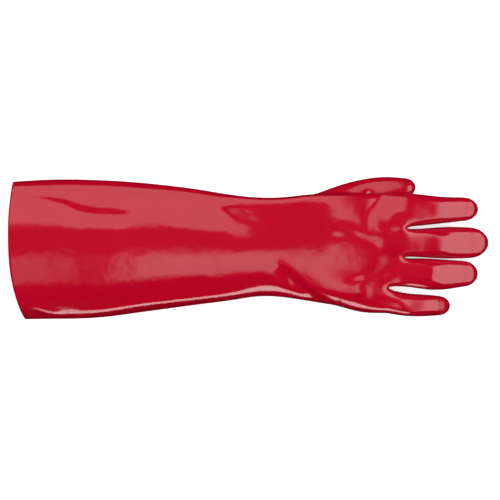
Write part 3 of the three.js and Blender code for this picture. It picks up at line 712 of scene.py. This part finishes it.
rough = add_node(tree, "ShaderNodeMapRange", {
    "Value": satin.outputs["Fac"], "To Min": COAT_GLOSS[0], "To Max": COAT_GLOSS[1],
})
tree.links.new(rough.outputs["Result"], shader.inputs["Roughness"])
peel = add_node(tree, "ShaderNodeTexNoise", {"Vector": place, "Scale": PEEL_SCALE, "Detail": 1.0})
waves = add_node(tree, "ShaderNodeTexNoise", {"Vector": place, "Scale": WAVE_SCALE, "Detail": 2.0})
relief = add_node(tree, "ShaderNodeMath", {0: peel.outputs["Fac"], 1: PEEL_SHARE, 2: waves.outputs["Fac"]},
                  operation="MULTIPLY_ADD")
bump = add_node(tree, "ShaderNodeBump", {"Height": relief.outputs[0], "Strength": 1.0, "Distance": COAT_RELIEF})
tree.links.new(bump.outputs["Normal"], shader.inputs["Normal"])
shader.inputs["IOR"].default_value = COAT_IOR

# The liner's inner face: raw cotton interlock, with fine ribs that run along the glove and stitches across them.
RAW_COTTON = (0.78, 0.76, 0.7, 1)
COTTON_ROUGHNESS = 0.95
COTTON_SHEEN = 0.3
RIB_SCALE = 700.0
STITCH_SCALE = 900.0
KNIT_RELIEF = 0.0004
knit, tree, shader = new_material("cotton_knit")
place = add_node(tree, "ShaderNodeTexCoord").outputs["Object"]
shader.inputs["Base Color"].default_value = RAW_COTTON
shader.inputs["Roughness"].default_value = COTTON_ROUGHNESS
shader.inputs["Sheen Weight"].default_value = COTTON_SHEEN
ribs, stitches = (
    add_node(tree, "ShaderNodeTexWave", {"Vector": place, "Scale": scale, "Distortion": 0.6, "Detail": 1.0},
             bands_direction=direction).outputs["Fac"]
    for scale, direction in ((RIB_SCALE, "Y"), (STITCH_SCALE, "X"))
)
weave = add_node(tree, "ShaderNodeMath", {0: ribs, 1: stitches}, operation="MULTIPLY")
bump = add_node(tree, "ShaderNodeBump", {"Height": weave.outputs[0], "Strength": 0.6, "Distance": KNIT_RELIEF})
tree.links.new(bump.outputs["Normal"], shader.inputs["Normal"])

gauntlet_mesh.materials.append(coat)
gauntlet_mesh.materials.append(knit)
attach(gauntlet, "root")
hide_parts("coated_shell")

# The studio: a plain white paper table, which adds nothing to the glove's gloss or colour. It isn't part of the glove.
FLOOR_HALF = 3.0
FLOOR_DROP = 0.0002
PAPER_WHITE = (0.95, 0.95, 0.95, 1)
PAPER_GLOW = 0.6


def flat_sheet(name, half_x, half_y):
    """A level rectangle about its own middle."""
    mesh = bpy.data.meshes.new(name)
    mesh.from_pydata([(-half_x, -half_y, 0), (half_x, -half_y, 0), (half_x, half_y, 0), (-half_x, half_y, 0)],
                     [], [(0, 1, 2, 3)])
    sheet = bpy.data.objects.new(name, mesh)
    bpy.context.scene.collection.objects.link(sheet)
    return sheet


floor = flat_sheet("floor", FLOOR_HALF, FLOOR_HALF)
floor.location.z = -FLOOR_DROP
paper, tree, shader = new_material("white_paper")
shader.inputs["Base Color"].default_value = PAPER_WHITE
shader.inputs["Roughness"].default_value = 1.0
shader.inputs["Specular IOR Level"].default_value = 0.0
shader.inputs["Emission Color"].default_value = (1, 1, 1, 1)
shader.inputs["Emission Strength"].default_value = PAPER_GLOW
floor.data.materials.append(paper)
floor.visible_glossy = False
floor.visible_diffuse = False

# One soft overhead light fills the colours.
FILL_PLACE = (0.0, 0.6, 2.6)
FILL_SIDE = 3.2
FILL_RADIANCE = 2.7
fill_lamp = bpy.data.lights.new("fill_overhead", "AREA")
fill_lamp.shape = "RECTANGLE"
fill_lamp.size = fill_lamp.size_y = FILL_SIDE
fill_lamp.energy = FILL_RADIANCE * math.pi * FILL_SIDE**2
fill = bpy.data.objects.new("fill_overhead", fill_lamp)
fill.location = FILL_PLACE
fill.rotation_mode = "QUATERNION"
fill.rotation_quaternion = (-Vector(FILL_PLACE)).to_track_quat("-Z", "Y")
fill.visible_camera = False
fill.visible_glossy = False
bpy.context.scene.collection.objects.link(fill)


def panel_light(name, place, turn, half_x, half_y, radiance, soft):
    """A flat panel that shows only in the gloss. Its light fades over a soft border."""
    panel = flat_sheet(name, half_x, half_y)
    panel.location = place
    panel.rotation_euler = turn
    material, tree, shader = new_material(name)
    tree.nodes.remove(shader)
    along, across, _ = add_node(
        tree, "ShaderNodeSeparateXYZ", {"Vector": add_node(tree, "ShaderNodeTexCoord").outputs["Object"]}
    ).outputs
    shares = []
    for coordinate, half in ((along, half_x), (across, half_y)):
        away = add_node(tree, "ShaderNodeMath", {0: coordinate}, operation="ABSOLUTE")
        shares.append(add_node(tree, "ShaderNodeMapRange", {
            "Value": away.outputs[0], "From Min": half, "From Max": half - soft, "To Min": 0.0, "To Max": 1.0,
        }, interpolation_type="SMOOTHSTEP").outputs["Result"])
    share = add_node(tree, "ShaderNodeMath", {0: shares[0], 1: shares[1]}, operation="MULTIPLY")
    strength = add_node(tree, "ShaderNodeMath", {0: share.outputs[0], 1: radiance}, operation="MULTIPLY")
    glow = add_node(tree, "ShaderNodeEmission", {"Strength": strength.outputs[0]})
    tree.links.new(glow.outputs[0], tree.nodes["Material Output"].inputs["Surface"])
    panel.data.materials.append(material)
    panel.visible_camera = panel.visible_diffuse = panel.visible_shadow = False


# Five soft panels give the gloss its highlights. Four run along X, to the thumb's side (1) or the little finger's
# side (-1), each between two angles off the vertical. The fifth stands beyond the fingertips.
LONG_PANELS = [
    # name, side, from and to degrees, distance, from and to x, radiance, soft border
    ("thumb_side_panel", 1, 7.5, 80, 1.0, -1.2, 0.32, 1.6, 0.12),
    ("near_panel", -1, 3, 29.5, 1.2, -0.15, 0.22, 1.9, 0.13),
    ("near_panel_at_cuff", -1, 3, 29.5, 1.2, -0.6, -0.13, 0.9, 0.13),
    ("low_panel", -1, 57, 82, 1.4, -0.3, 0.38, 7.0, 0.07),
]
for name, side, from_degrees, to_degrees, distance, x_from, x_to, radiance, soft in LONG_PANELS:
    tilt = math.radians((from_degrees + to_degrees) / 2)
    half_y = distance * math.tan(math.radians((to_degrees - from_degrees) / 2))
    place = ((x_from + x_to) / 2, side * distance * math.sin(tilt), distance * math.cos(tilt))
    panel_light(name, place, (-side * tilt, 0, 0), (x_to - x_from) / 2, half_y, radiance, soft)
FINGERTIPS_X = 0.2
END_ANGLE = math.radians(45)
END_DISTANCE = 1.6
end_place = (FINGERTIPS_X + END_DISTANCE * math.sin(END_ANGLE), 0.0, END_DISTANCE * math.cos(END_ANGLE))
panel_light("fingertip_panel", end_place, (0, END_ANGLE, 0), half_x=0.9, half_y=1.6, radiance=3.3, soft=0.45)

# A weak even light from all round lifts the darkest colours.
WORLD_LIGHT = 0.3
world = bpy.data.worlds.new("studio")
world.use_nodes = True
world.node_tree.nodes["Background"].inputs["Color"].default_value = (1, 1, 1, 1)
world.node_tree.nodes["Background"].inputs["Strength"].default_value = WORLD_LIGHT
world.cycles_visibility.glossy = False
bpy.context.scene.world = world

# The camera looks straight down, as in the photograph.
FRAME_WIDTH = 0.46975  # what the photograph's side takes in, at the height of the glove's outline
FRAME_MIDDLE = 0.00053, -0.0019
CAMERA_HEIGHT = 2.5
OUTLINE_HEIGHT = 0.015
camera = bpy.data.cameras.new("camera")
camera.sensor_width = 36.0
camera.lens = camera.sensor_width * (CAMERA_HEIGHT - OUTLINE_HEIGHT) / FRAME_WIDTH
camera_object = bpy.data.objects.new("camera", camera)
camera_object.location = (*FRAME_MIDDLE, CAMERA_HEIGHT)
bpy.context.scene.collection.objects.link(camera_object)
bpy.context.scene.camera = camera_object
bpy.context.scene.view_settings.view_transform = "Standard"
